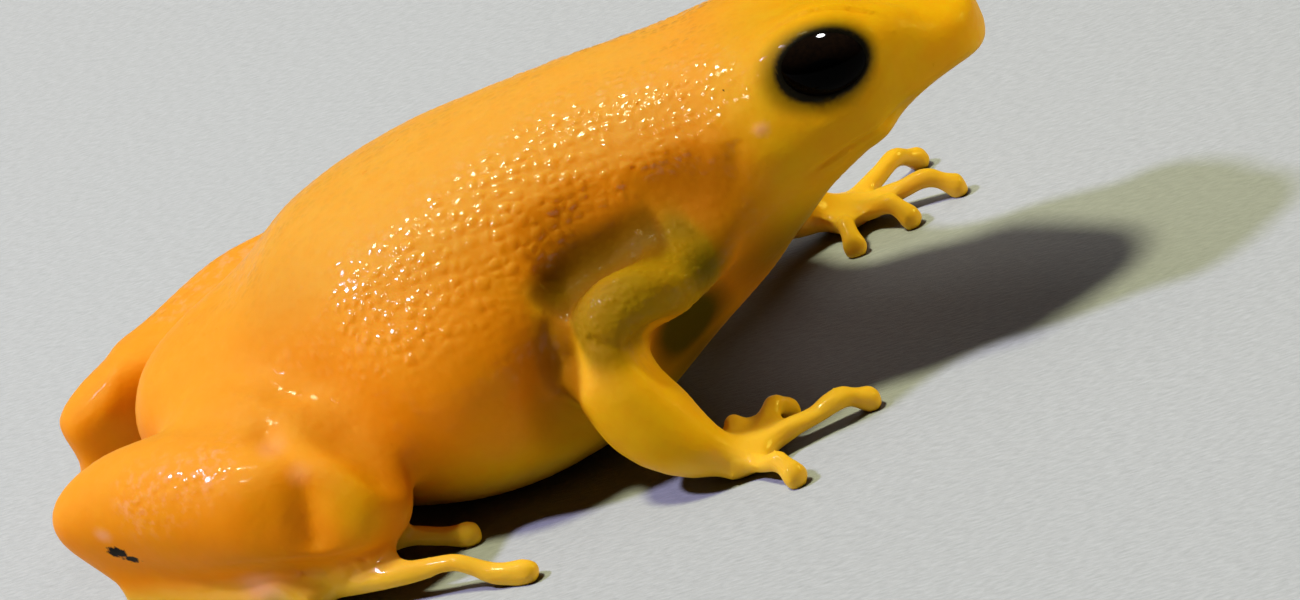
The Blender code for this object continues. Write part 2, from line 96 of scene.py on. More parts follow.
def deselect_all() -> None:
    """Leaves object mode with nothing selected."""
    if bpy.context.object and bpy.context.object.mode != "OBJECT":
        bpy.ops.object.mode_set(mode="OBJECT")
    bpy.ops.object.select_all(action="DESELECT")


def activate(obj: bpy.types.Object) -> None:
    """Makes one object the only selected and the active one."""
    deselect_all()
    obj.select_set(True)
    bpy.context.view_layer.objects.active = obj


def apply_modifier(obj: bpy.types.Object, kind: str, **settings: object) -> None:
    """Adds a modifier to the object, sets it and applies it.

    Args:
        obj: The object to work on.
        kind: Blender's name of the modifier's kind.
        settings: Its properties.
    """
    activate(obj)
    modifier = obj.modifiers.new(kind.title(), kind)
    for name, value in settings.items():
        setattr(modifier, name, value)
    bpy.ops.object.modifier_apply(modifier=modifier.name)


def ease(share: np.ndarray) -> np.ndarray:
    """A smooth step from 0 to 1."""
    share = np.clip(share, 0.0, 1.0)
    return share * share * (3 - 2 * share)


# ---- Clay: the working state of the skin ----


@dataclass(frozen=True)
class Dab:
    """A soft egg-shaped zone of the body.

    Attributes:
        centre: Its middle, with y outwards when it lies on a side.
        size: Its half sizes along x, y and z.
        amount: What it does at its middle, such as a push in millimetres.
        sides: The sides of the body it lies on; none for a zone on the middle.
    """

    centre: Point
    size: Point
    amount: float = 1.0
    sides: tuple[Side, ...] = (Side.RIGHT, Side.LEFT)

    def weight(self, points: np.ndarray) -> np.ndarray:
        """Measures how strongly the zone acts.

        Args:
            points: The points to measure.

        Returns:
            The share of its amount at each point, 1 at the middle and 0 outside.
        """
        total = np.zeros(len(points))
        for sign in [side.value for side in self.sides] or [1]:
            centre = np.array(self.centre) * (1, sign, 1)
            reach = np.linalg.norm((points - centre) / self.size, axis=1)
            total = np.maximum(total, ease(1 - reach))
        return total


@dataclass(frozen=True)
class Stroke:
    """A line drawn on the skin, pressed in or raised.

    Attributes:
        path: The points that it follows, with y outwards when it lies on a side.
        width: How far from the line it still acts.
        amount: How far it raises the skin at the line; below 0 it presses in.
        sides: The sides of the body it is drawn on.
    """

    path: tuple[Point, ...]
    width: float
    amount: float
    sides: tuple[Side, ...] = (Side.RIGHT, Side.LEFT)

    def weight(self, points: np.ndarray) -> np.ndarray:
        """Measures how strongly the stroke acts; it fades at both ends of the line.

        Args:
            points: The points to measure.

        Returns:
            The share of its amount at each point.
        """
        total = np.zeros(len(points))
        for side in self.sides:
            path = np.array(self.path) * (1, side.value, 1)
            low, high = path.min(0) - self.width, path.max(0) + self.width
            near = np.flatnonzero(np.all((points > low) & (points < high), axis=1))
            distance, share = along_path(points[near], path)
            ends = ease(np.minimum(share, 1 - share) / 0.15)
            total[near] = np.maximum(total[near], ease(1 - distance / self.width) * ends)
        return total


def along_path(points: np.ndarray, path: np.ndarray) -> tuple[np.ndarray, np.ndarray]:
    """Measures points against a path of straight pieces.

    Args:
        points: The points.
        path: The path's corners in order.

    Returns:
        Each point's distance from the path, and the share of the path's length at that place.
    """
    spans = np.linalg.norm(np.diff(path, axis=0), axis=1)
    starts = np.concatenate([[0.0], np.cumsum(spans)])
    best = np.full(len(points), np.inf)
    share = np.zeros(len(points))
    for i, span in enumerate(spans):
        direction = (path[i + 1] - path[i]) / span
        reach = np.clip((points - path[i]) @ direction, 0.0, span)
        distance = np.linalg.norm(points - path[i] - reach[:, None] * direction, axis=1)
        closer = distance < best
        best[closer] = distance[closer]
        share[closer] = (starts[i] + reach[closer]) / starts[-1]
    return best, share


class Clay:
    """The skin's points while they are worked, in layout millimetres."""

    def __init__(self, obj: bpy.types.Object) -> None:
        """Reads the object's points and edges."""
        self.obj = obj
        mesh = obj.data
        flat = np.empty(len(mesh.vertices) * 3)
        mesh.vertices.foreach_get("co", flat)
        self.points = flat.reshape(-1, 3) / MM - ORIGIN
        edges = np.empty(len(mesh.edges) * 2, np.int64)
        mesh.edges.foreach_get("vertices", edges)
        first, second = edges.reshape(-1, 2).T
        self._from = np.concatenate([first, second])
        self._to = np.concatenate([second, first])
        self._count = np.maximum(np.bincount(self._from, minlength=len(self.points)), 1)

    def store(self) -> None:
        """Writes the points back to the object."""
        self.obj.data.vertices.foreach_set("co", ((self.points + ORIGIN) * MM).ravel())
        self.obj.data.update()

    def normals(self) -> np.ndarray:
        """The outward direction at each point, from the points as they are now."""
        self.store()
        flat = np.empty(len(self.points) * 3)
        self.obj.data.vertex_normals.foreach_get("vector", flat)
        return flat.reshape(-1, 3)

    def swell(self, amount: float | np.ndarray) -> None:
        """Moves the points outwards by one amount, or each by its own."""
        self.points += self.normals() * np.reshape(amount, (-1, 1))

    def mean_near(self, values: np.ndarray) -> np.ndarray:
        """Averages each point's neighbours.

        Args:
            values: Any values, kept one row to a point.

        Returns:
            The means, in rows of the same kind.
        """
        columns = [
            np.bincount(self._from, values[self._to, k], len(values)) / self._count
            for k in range(values.shape[1])
        ]
        return np.stack(columns, axis=1)

    def relax(self, rounds: int, weight: np.ndarray | float = 1.0, hold: float = 0.0) -> None:
        """Smooths the skin.

        Args:
            rounds: How many times.
            weight: The share of the smoothing that each point takes.
            hold: How much of each round is given back, which keeps thin parts from shrinking.
        """
        weight = np.reshape(weight * np.ones(len(self.points)), (-1, 1))
        for _ in range(rounds):
            self.points += weight * (self.mean_near(self.points) - self.points) * 0.5
            if hold:
                self.points -= weight * (self.mean_near(self.points) - self.points) * 0.5 * hold

    def press(self, marks: Iterable[Dab | Stroke]) -> None:
        """Raises or presses the skin along its normals by each mark in turn."""
        for mark in marks:
            self.swell(mark.weight(self.points) * mark.amount)

    def plane(self, zone: Dab, point: Point, normal: Point) -> None:
        """Cuts down what stands out of a plane within a zone.

        Args:
            zone: Where it cuts, and how much of the height it takes away.
            point: A point of the plane.
            normal: The direction that the plane faces.
        """
        out = np.array(normal) / np.linalg.norm(normal)
        for side in zone.sides:
            one = Dab(zone.centre, zone.size, zone.amount, (side,))
            mirror = (1, side.value, 1)
            height = np.clip((self.points - np.array(point) * mirror) @ (out * mirror), 0.0, None)
            share = one.weight(self.points) * height * zone.amount
            self.points -= share[:, None] * (out * mirror)

    def tug(self, zone: Dab, shift: Point) -> None:
        """Moves a zone of the skin by its share of `shift`, in millimetres."""
        self.points += zone.weight(self.points)[:, None] * np.array(shift)


def pebbles(points: np.ndarray, spacing: float, seed: int) -> np.ndarray:
    """The height of rounded grains that are packed together at uneven places.

    Args:
        points: Where it is wanted, in millimetres.
        spacing: The mean distance between grains.
        seed: Chooses the pattern.

    Returns:
        A height for each point, from 0 between grains to 1 on the highest ones.
    """
    scaled = points / spacing
    cell = np.floor(scaled).astype(np.int64)
    first = np.full(len(points), np.inf)
    second = np.full(len(points), np.inf)
    lift = np.zeros(len(points))
    for step in np.ndindex(3, 3, 3):
        near = cell + np.array(step) - 1
        key = np.bitwise_xor.reduce(near * CELL_PRIMES, axis=1) ^ seed
        jitter = []
        for _ in range(4):
            key = (key * KEY_FACTOR + KEY_STEP) & KEY_BITS
            jitter.append((key >> 8 & 0xFFFF) / 0xFFFF)
        centre = near + 0.15 + 0.7 * np.stack(jitter[:3], axis=1)
        distance = np.linalg.norm(scaled - centre, axis=1)
        closer = distance < first
        second = np.where(closer, first, np.minimum(second, distance))
        lift = np.where(closer, 0.55 + 0.45 * jitter[3], lift)
        first = np.where(closer, distance, first)
    dome = np.clip(1 - (first / 0.85) ** 2, 0.0, 1.0)
    return dome * ease((second - first) / 0.35) * lift


# ---- Finishes ----


def link(tree: Tree, source: Socket, target: Socket) -> None:
    """Joins two sockets."""
    tree.links.new(source, target)


def set_inputs(node: bpy.types.Node, values: dict[str, object]) -> None:
    """Sets the plain values of a node's inputs by their names."""
    for name, value in values.items():
        node.inputs[name].default_value = value


def new_material(name: str) -> tuple[bpy.types.Material, Tree, bpy.types.Node]:
    """Makes a material with nodes.

    Args:
        name: Its name.

    Returns:
        The material, its node tree and its Principled shader.
    """
    material = bpy.data.materials.new(name)
    material.use_nodes = True
    tree = material.node_tree
    return material, tree, tree.nodes["Principled BSDF"]


def mix_colours(tree: Tree, factor: Socket, low: Point | Socket, high: Point | Socket) -> Socket:
    """Adds a node that mixes two colours.

    Args:
        tree: The node tree.
        factor: The socket that says how much of the second colour shows.
        low: The first colour, or a socket that gives it.
        high: The second one.

    Returns:
        The mixed colour's socket.
    """
    node = tree.nodes.new("ShaderNodeMix")
    node.data_type = "RGBA"
    link(tree, factor, node.inputs["Factor"])
    for socket, value in ((node.inputs[6], low), (node.inputs[7], high)):
        if isinstance(value, Socket):
            link(tree, value, socket)
        else:
            socket.default_value = (*value, 1.0)
    return node.outputs[2]


def calculate(tree: Tree, operation: str, first: Socket, second: float | Socket) -> Socket:
    """Adds a Math node.

    Args:
        tree: The node tree.
        operation: Blender's name of what it does.
        first: The socket of the first value.
        second: The second value, or a socket that gives it.

    Returns:
        The result's socket.
    """
    node = tree.nodes.new("ShaderNodeMath")
    node.operation = operation
    link(tree, first, node.inputs[0])
    if isinstance(second, Socket):
        link(tree, second, node.inputs[1])
    else:
        node.inputs[1].default_value = second
    return node.outputs[0]


def remap(tree: Tree, value: Socket, span: Span, target: Span) -> Socket:
    """Adds a Map Range node.

    Args:
        tree: The node tree.
        value: The socket of the value to map.
        span: The range that it is read over.
        target: The range that this becomes.

    Returns:
        The result's socket.
    """
    node = tree.nodes.new("ShaderNodeMapRange")
    link(tree, value, node.inputs["Value"])
    set_inputs(node, dict(zip(("From Min", "From Max", "To Min", "To Max"), (*span, *target))))
    return node.outputs["Result"]


def noise(tree: Tree, size: float, detail: float = 3.0) -> Socket:
    """Adds noise on Object coordinates.

    Args:
        tree: The node tree.
        size: The size of its features, in millimetres.
        detail: How many finer layers it has.

    Returns:
        The socket of its value.
    """
    place = tree.nodes.new("ShaderNodeTexCoord")
    node = tree.nodes.new("ShaderNodeTexNoise")
    set_inputs(node, {"Scale": 1 / (size * MM), "Detail": detail})
    link(tree, place.outputs["Object"], node.inputs["Vector"])
    return node.outputs["Fac"]


def mask(tree: Tree, name: str) -> Socket:
    """Reads one of the masks that are painted on the skin."""
    node = tree.nodes.new("ShaderNodeAttribute")
    node.attribute_name = name
    return node.outputs["Fac"]


@dataclass(frozen=True)
class SkinFinish:
    """Wet golden skin: orange on the back, yellow below, with an olive tinge in places, and painted
    shade, sheen and highlights laid into its colour.
    """

    orange: Point = (0.95, 0.285, 0.003)
    yellow: Point = (0.84, 0.44, 0.005)
    # painted sheen: a paler orange laid on what faces the lamps
    pale: Point = (0.78, 0.37, 0.050)
    ember: Point = (0.82, 0.26, 0.004)
    # painted shade: a deeper, darker orange
    deep: Point = (0.42, 0.125, 0.001)
    # painted light: a brighter yellow for the hands and feet
    moist: Point = (1.0, 0.58, 0.05)
    # painted highlight: a light pinkish tint
    rose: Point = (0.95, 0.42, 0.22)
    # a near-black olive, laid on mostly as painted shade
    olive: Point = (0.088, 0.062, 0.001)
    black: Point = (0.006, 0.005, 0.003)
    sheen: Point = (1.0, 0.78, 0.35)        # the tint of what it mirrors without its wet coat
    roughness: Span = (0.42, 0.60)
    coat: float = 1.0
    subsurface: float = 0.25
    glow_depth: float = 0.9                 # how far light spreads under the skin
    glow: Point = (1.0, 0.42, 0.06)         # how far red, green and blue go, as shares of that
    wart: float = 0.17                      # the distance between the finest grains

    def build(self) -> bpy.types.Material:
        """Makes the material."""
        material, tree, shader = new_material("mantella_skin")
        drops = remap(tree, noise(tree, 0.6), (0.38, 0.55), (0.25, self.coat))
        wet = calculate(tree, "MULTIPLY", mask(tree, "wet"), drops)
        for name, source in {
            "Base Color": self.colour(tree),
            "Roughness": remap(tree, noise(tree, 0.8), (0.3, 0.7), self.roughness),
            "Coat Weight": wet,
            "Normal": self.relief(tree),
        }.items():
            link(tree, source, shader.inputs[name])
        set_inputs(shader, {
            "Coat Roughness": 0.10,
            "Specular IOR Level": 0.12,
            "Specular Tint": (*self.sheen, 1.0),
            "Subsurface Weight": self.subsurface,
            "Subsurface Scale": self.glow_depth * MM,
            "Subsurface Radius": self.glow,
            "IOR": 1.36,
        })
        return material

    def colour(self, tree: Tree) -> Socket:
        """Lays the colours over each other, zone by zone, with painted shade, sheen and highlights among
        them.

        Args:
            tree: The node tree.

        Returns:
            The socket of the finished colour.
        """
        blotches = remap(tree, noise(tree, 2.2), (0.3, 0.7), (-0.18, 0.18))
        mottle = remap(tree, noise(tree, 0.5, 4.0), (0.35, 0.65), (0.0, 0.20))
        # painted highlight: pinkish flecks standing for glints on the shank's grain
        specks = remap(tree, noise(tree, 0.30), (0.50, 0.66), (0.0, 0.38))
        ragged = remap(tree, noise(tree, 0.16), (0.3, 0.7), (-0.22, 0.22))
        marks = remap(tree, calculate(tree, "ADD", mask(tree, "black"), ragged), (0.35, 0.60), (0.0, 1.0))
        tone = calculate(tree, "ADD", mask(tree, "tone"), blotches)
        colour = mix_colours(tree, tone, self.orange, self.yellow)
        for factor, layer in (
            # painted sheen on what faces up towards the lamps
            (calculate(tree, "MULTIPLY", mask(tree, "pale"), 0.9), self.pale),
            (mottle, self.ember),
            # painted highlight flecks along the top of the shank
            (calculate(tree, "MULTIPLY", mask(tree, "specks"), specks), self.rose),
            # painted shade in a deeper orange
            (mask(tree, "deep"), self.deep),
            # painted light on the hands and feet
            (mask(tree, "moist"), self.moist),
            # painted pinkish highlights
            (mask(tree, "rose"), self.rose),
            # olive, mostly painted shade
            (mask(tree, "olive"), self.olive),
            (marks, self.black),
            # painted shade: a black ring at the edge of each eye's opening
            (mask(tree, "rim"), self.black),
        ):
            colour = mix_colours(tree, factor, colour, layer)
        return colour

    def relief(self, tree: Tree) -> Socket:
        """Lays fine grain over the modelled one: small warts, and creases finer than the mesh.

        Args:
            tree: The node tree.

        Returns:
            The socket of the bumped normal.
        """
        place = tree.nodes.new("ShaderNodeTexCoord")
        warts = tree.nodes.new("ShaderNodeTexVoronoi")
        warts.feature = "SMOOTH_F1"
        set_inputs(warts, {"Scale": 1 / (self.wart * MM), "Smoothness": 0.35})
        link(tree, place.outputs["Object"], warts.inputs["Vector"])
        dome = remap(tree, warts.outputs["Distance"], (0.0, 0.75), (1.0, 0.0))
        strength = remap(tree, mask(tree, "grain"), (0.0, 1.0), (0.35, 0.15))
        height = calculate(tree, "MULTIPLY", dome, strength)
        height = calculate(tree, "ADD", height, calculate(tree, "MULTIPLY", noise(tree, 0.35, 4.0), 0.25))
        bump = tree.nodes.new("ShaderNodeBump")
        set_inputs(bump, {"Strength": 0.5, "Distance": 0.02 * MM})
        link(tree, height, bump.inputs["Height"])
        return bump.outputs["Normal"]


@dataclass(frozen=True)
class EyeFinish:
    """A wet black eye: a near-black brown iris round a lying oval pupil, under clear cornea."""

    pupil: Point = (0.0003, 0.0003, 0.0003)
    iris: Point = (0.0016, 0.0008, 0.0004)
    pupil_size: Point = (0.62, 40.0, 0.42)      # half sizes; it runs right through the globe

    def build(self, centre: Vector) -> bpy.types.Material:
        """Makes the material of one eye.

        Args:
            centre: The middle of its globe, in metres.

        Returns:
            The material.
        """
        material, tree, shader = new_material("eye_wet_black")
        place = tree.nodes.new("ShaderNodeTexCoord")
        shift = tree.nodes.new("ShaderNodeMapping")
        shift.vector_type = "TEXTURE"
        set_inputs(shift, {"Location": centre, "Scale": [half * MM for half in self.pupil_size]})
        link(tree, place.outputs["Object"], shift.inputs["Vector"])
        length = tree.nodes.new("ShaderNodeVectorMath")
        length.operation = "LENGTH"
        link(tree, shift.outputs["Vector"], length.inputs[0])
        edge = remap(tree, length.outputs["Value"], (0.92, 1.06), (0.0, 1.0))
        fibres = remap(tree, noise(tree, 0.12, 5.0), (0.3, 0.7), (0.4, 1.0))
        streaks = calculate(tree, "MULTIPLY", edge, fibres)
        link(tree, mix_colours(tree, streaks, self.pupil, self.iris), shader.inputs["Base Color"])
        set_inputs(shader, {"Roughness": 0.05, "IOR": 1.376, "Specular IOR Level": 0.03})
        return material


@dataclass(frozen=True)
class FloorFinish:
    """Pale grey paper with short fibres pressed into it."""

    colour: Point = (0.130, 0.131, 0.133)
    shades: Span = (0.85, 1.12)      # its darkest and lightest, as shares of the colour
    fibre: float = 0.16                             # the size of a fibre across
    lie: float = -28.0                              # degrees that the fibres are turned
    relief: float = 0.09                            # how far they stand out

    def build(self) -> bpy.types.Material:
        """Makes the material."""
        material, tree, shader = new_material("floor_paper")
        place = tree.nodes.new("ShaderNodeTexCoord")
        stretch = tree.nodes.new("ShaderNodeMapping")
        set_inputs(stretch, {"Rotation": (0.0, 0.0, math.radians(self.lie)), "Scale": (0.45, 1.6, 1.0)})
        link(tree, place.outputs["Object"], stretch.inputs["Vector"])
        fibres = tree.nodes.new("ShaderNodeTexNoise")
        set_inputs(fibres, {"Scale": 1 / (self.fibre * MM), "Detail": 5.0, "Roughness": 0.65})
        link(tree, stretch.outputs["Vector"], fibres.inputs["Vector"])
        tint = remap(tree, fibres.outputs["Fac"], (0.3, 0.7), (0.0, 1.0))
        dark, light = (tuple(channel * shade for channel in self.colour) for shade in self.shades)
        link(tree, mix_colours(tree, tint, dark, light), shader.inputs["Base Color"])
        bump = tree.nodes.new("ShaderNodeBump")
        set_inputs(bump, {"Strength": 0.35, "Distance": self.relief * MM})
        link(tree, fibres.outputs["Fac"], bump.inputs["Height"])
        link(tree, bump.outputs["Normal"], shader.inputs["Normal"])
        set_inputs(shader, {"Roughness": 0.85, "Specular IOR Level": 0.15})
        return material


# ---- The frog ----


@dataclass
class Eyeball:
    """One globe of the eye, the size and place of its solid."""

    side: Side
    size: Point = GLOBE_SIZE
    tilt: float = GLOBE_TILT

    @property
    def name(self) -> str:
        """The name of its solid."""
        return f"eye_{self.side.name.lower()}"

    def build(self) -> bpy.types.Object:
        """Makes the globe and returns it."""
        low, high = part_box(self.name)
        centre = (low + high) / 2
        deselect_all()
        bpy.ops.mesh.primitive_uv_sphere_add(segments=64, ring_count=40, radius=MM, location=centre)
        globe = bpy.context.object
        globe.name = f"{self.name}_globe"
        bpy.ops.transform.resize(value=self.size, center_override=centre)
        turn = math.radians(-self.tilt)
        bpy.ops.transform.rotate(value=turn, orient_axis="Y", center_override=centre)
        bpy.ops.object.transform_apply(location=True, rotation=True, scale=True)
        bpy.ops.object.shade_smooth()
        globe.data.materials.append(EyeFinish().build(centre))
        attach(globe, "root")
        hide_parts(self.name)
        return globe


@dataclass
class Lids:
    """The soft lids that close on each eyeball."""

    opening: Span = (1.27, 0.91)     # half length and half height of the opening
    globe: Point = GLOBE_SIZE
    tilt: float = GLOBE_TILT
    thickness: float = 0.06         # how much wider the lids lie than the globe, as a share of it
    lift: float = 0.10              # how far the opening lies above the middle of the globe
    reach: float = 0.62             # how far the lids spread from the opening, as a share of it
    around: float = 3.2             # how far from the globe's middle the skin can belong to the eye

    def axes(self, side: Side) -> np.ndarray:
        """The directions along the eye's length, out of the head and up, one to a row."""
        turn = math.radians(self.tilt)
        along, rise = math.cos(turn), math.sin(turn)
        return np.array([[along, 0.0, rise], [0.0, side.value, 0.0], [-rise, 0.0, along]])

    def place(self, points: np.ndarray, side: Side) -> tuple[np.ndarray, np.ndarray, np.ndarray]:
        """Measures the points near one eye.

        Args:
            points: The points of the skin.
            side: The eye's side.

        Returns:
            The numbers of the points near it, their places from its middle along its own axes,
            and their ring: 1 on the edge of the opening, more outside.
        """
        centre = np.array(EYE_MIDDLE) * (1, side.value, 1)
        near = np.flatnonzero(np.linalg.norm(points - centre, axis=1) < self.around)
        place = (points[near] - centre) @ self.axes(side).T
        near, place = near[place[:, 1] > -0.3], place[place[:, 1] > -0.3]
        ring = np.hypot(place[:, 0] / self.opening[0], (place[:, 2] - self.lift) / self.opening[1])
        return near, place, ring

    def shade(self, points: np.ndarray, inner: float, outer: float, back: float) -> np.ndarray:
        """A ring of shade round both eyes.

        Args:
            points: The points of the skin.
            inner: The ring up to which it is full.
            outer: The ring at which it has faded out.
            back: How much wider it is behind and below the eye, as a share.

        Returns:
            The shade at each point, from 0 to 1.
        """
        total = np.zeros(len(points))
        for side in Side:
            near, place, ring = self.place(points, side)
            wide = 1 + back * ease(0.5 - (place[:, 0] + place[:, 2]) / 3)
            total[near] = 1 - ease(((ring - 1) / wide - (inner - 1)) / (outer - inner))
        return total

    def form(self, clay: Clay) -> None:
        """Lays the skin around each eye on its globe and tucks it in inside the opening."""
        for side in Side:
            centre = np.array(EYE_MIDDLE) * (1, side.value, 1)
            near, place, ring = self.place(clay.points, side)
            x, y, z = (place / self.globe).T
            globe = np.sqrt(x ** 2 + y ** 2 + z ** 2)
            margin = 1 + self.thickness * ease((ring - 0.97) / 0.10)
            inside = 0.84 + 0.16 * ease((ring - 0.90) / 0.09)
            wanted = np.where(ring < 0.97, inside, margin + 0.35 * np.clip(ring - 1.07, 0.0, None))
            hold = 1 - ease((ring - 1.05) / self.reach)
            scale = 1 + (wanted / globe - 1) * hold
            clay.points[near] = centre + (place * scale[:, None]) @ self.axes(side)


@dataclass
class FrogSkin:
    """The one skin over the whole body."""

    flesh: tuple[str, ...] = ("head", "torso") + tuple(
        f"{part}_{side.name.lower()}"
        for part in ("upper_arm", "forearm", "hand", "thigh", "shank", "foot")
        for side in Side
    )
    bridge: float = 0.19            # how far the solids swell before they melt together
    voxel: float = 0.14
    triangles: int = 194_000
    lids: Lids = field(default_factory=Lids)

    def build(self) -> bpy.types.Object:
        """Makes the skin and returns it."""
        skin = self.gather()
        self.melt(skin)
        clay = Clay(skin)
        clay.swell(-self.bridge)
        clay.relax(6, hold=1.02)
        self.blend_joints(clay)
        self.model(clay)
        clay.store()
        apply_modifier(skin, "SUBSURF", levels=1, render_levels=1)
        clay = Clay(skin)
        self.lids.form(clay)
        clay.press(FINE_MARKS)
        self.grain(clay)
        clay.store()
        apply_modifier(skin, "DECIMATE", ratio=self.triangles / (2 * len(skin.data.polygons)))
        self.paint(skin)
        activate(skin)
        bpy.ops.object.shade_smooth()
        skin.data.materials.clear()
        skin.data.materials.append(SkinFinish().build())
        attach(skin, "root")
        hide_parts(*self.flesh)
        return skin

    def gather(self) -> bpy.types.Object:
        """Joins merged copies of the flesh, and of the eyes that the lids close over."""
        deselect_all()
        copies = []
        for name in (*self.flesh, "eye_right", "eye_left"):
            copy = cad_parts[name].copy()
            copy.data = copy.data.copy()
            copy.parent = None
            copy.hide_render = copy.hide_viewport = False
            for key in list(copy.keys()):
                del copy[key]
            bpy.context.scene.collection.objects.link(copy)
            activate(copy)
            bpy.ops.object.mode_set(mode="EDIT")
            bpy.ops.mesh.select_all(action="SELECT")
            bpy.ops.mesh.remove_doubles(threshold=1e-7)
            bpy.ops.object.mode_set(mode="OBJECT")
            apply_modifier(copy, "DISPLACE", mid_level=0.0, strength=self.bridge * MM)
            copies.append(copy)
        deselect_all()
        for copy in copies:
            copy.select_set(True)
        bpy.context.view_layer.objects.active = copies[0]
        bpy.ops.object.join()
        skin = bpy.context.object
        skin.name = "skin"
        skin.data.name = "skin"
        return skin

    def melt(self, skin: bpy.types.Object) -> None:
        """Turns the joined copies into one closed surface."""
        apply_modifier(skin, "REMESH", mode="VOXEL", voxel_size=self.voxel * MM)

    def blend_joints(self, clay: Clay) -> None:
        """Softens the seams where one solid ran into the next."""
        for dab, rounds in SEAMS:
            clay.relax(rounds, dab.weight(clay.points))

    def model(self, clay: Clay) -> None:
        """Works over the large forms: snout, shoulders, armpits, folded knees and toes."""
        body = ease((clay.points[:, 2] - 0.9) / 1.2)
        clay.relax(36, body)
        clay.swell(0.04 * body)
        for zone, shift in TUGS:
            clay.tug(zone, shift)
        for zone, point, normal in TRIMS:
            clay.plane(zone, point, normal)
        clay.press(BROAD_MARKS)
        for zone, rounds in SMOOTHINGS:
            clay.relax(rounds, zone.weight(clay.points))
        for side, tips in TIPS.items():
            for x, y in tips:
                tip = Dab((x, y, 0.25), (0.75, 0.75, 0.9), sides=(side,))
                clay.relax(12, tip.weight(clay.points))
                clay.swell(0.12 * tip.weight(clay.points))
        clay.press(FOLDS)
        clay.relax(3, body)

    def grain(self, clay: Clay) -> None:
        """Raises the fine warts of the back and flanks."""
        front = ease((clay.points[:, 0] + 0.5) / 4.0)
        clay.swell(grains(clay.points) * grain_mask(clay.points) * (0.048 - 0.008 * front))
        body = ease((clay.points[:, 2] - 1.2) / 2.0)
        fine = 0.008 * body + 0.024 * UPPER_ARM.weight(clay.points)
        clay.swell(pebbles(clay.points, FINE_GRAIN, 5) * fine)
        clay.points[:, 2] = np.maximum(clay.points[:, 2], 0.0)

    def paint(self, skin: bpy.types.Object) -> None:
        """Paints the masks that the skin's finish reads, among them those of painted shade, sheen and
        highlights.

        Args:
            skin: The finished skin.
        """
        clay = Clay(skin)
        points = clay.points
        for name, values in {
            "tone": yellow_mask(points),
            # painted sheen, strongest where the skin faces the lamps
            "pale": painted_sheen_mask(points, clay.normals()),
            "grain": grain_mask(points),
            "wet": wet_mask(points),
            # olive: painted shade round the eyes, in the armpits and on the chest, and a real tinge on
            # the arms and head
            "olive": olive_and_shade_mask(points),
            # painted pinkish highlights on the ear drums, heels, knee folds and feet
            "rose": pink_highlight_mask(points),
            # painted shade round the shoulder, in the armpit, by the elbow and under the thigh
            "deep": painted_shade_mask(points),
            # painted highlight flecks along the top of the shank
            "specks": SHANK_TOP.weight(points),
            # painted light: brighter yellow on the hands and feet
            "moist": lit_yellow_mask(points),
            "black": black_mask(points),
            # painted shade: black where the lids meet the globe
            "rim": self.lids.shade(points, 0.97, 1.10, back=0.1),
        }.items():
            attribute = skin.data.attributes.new(name, "FLOAT", "POINT")
            attribute.data.foreach_set("value", np.clip(values, 0.0, 1.0).astype(np.float32))


NEAR = (Side.RIGHT,)
FAR = (Side.LEFT,)
GRAIN, FRONT_GRAIN, FINE_GRAIN = 0.34, 0.29, 0.21      # distances between grains: back, neck, everywhere

SEAMS: tuple[tuple[Dab, int], ...] = (
    (Dab((4.0, 0.0, 6.0), (2.6, 6.0, 7.0), sides=()), 24),
    (Dab((2.6, 4.4, 6.3), (2.2, 2.0, 2.2)), 24),
    (Dab((-1.1, 5.8, 4.2), (1.3, 1.5, 1.3), sides=NEAR), 10),
    (Dab((0.3, 6.5, 4.1), (1.3, 1.5, 1.3), sides=FAR), 10),
    (Dab((1.3, 6.7, 0.8), (1.0, 1.2, 1.0), sides=NEAR), 8),
    (Dab((4.5, 7.6, 0.8), (1.0, 1.2, 1.0), sides=FAR), 8),
    (Dab((-11.6, 3.3, 4.4), (2.4, 2.0, 2.4)), 24),
    (Dab((-7.4, 8.2, 2.6), (1.8, 1.8, 2.0), sides=NEAR), 14),
    (Dab((-7.3, 9.4, 3.1), (1.6, 1.6, 2.0), sides=FAR), 14),
    (Dab((-16.2, 3.8, 2.2), (1.6, 1.6, 1.6)), 14),
)

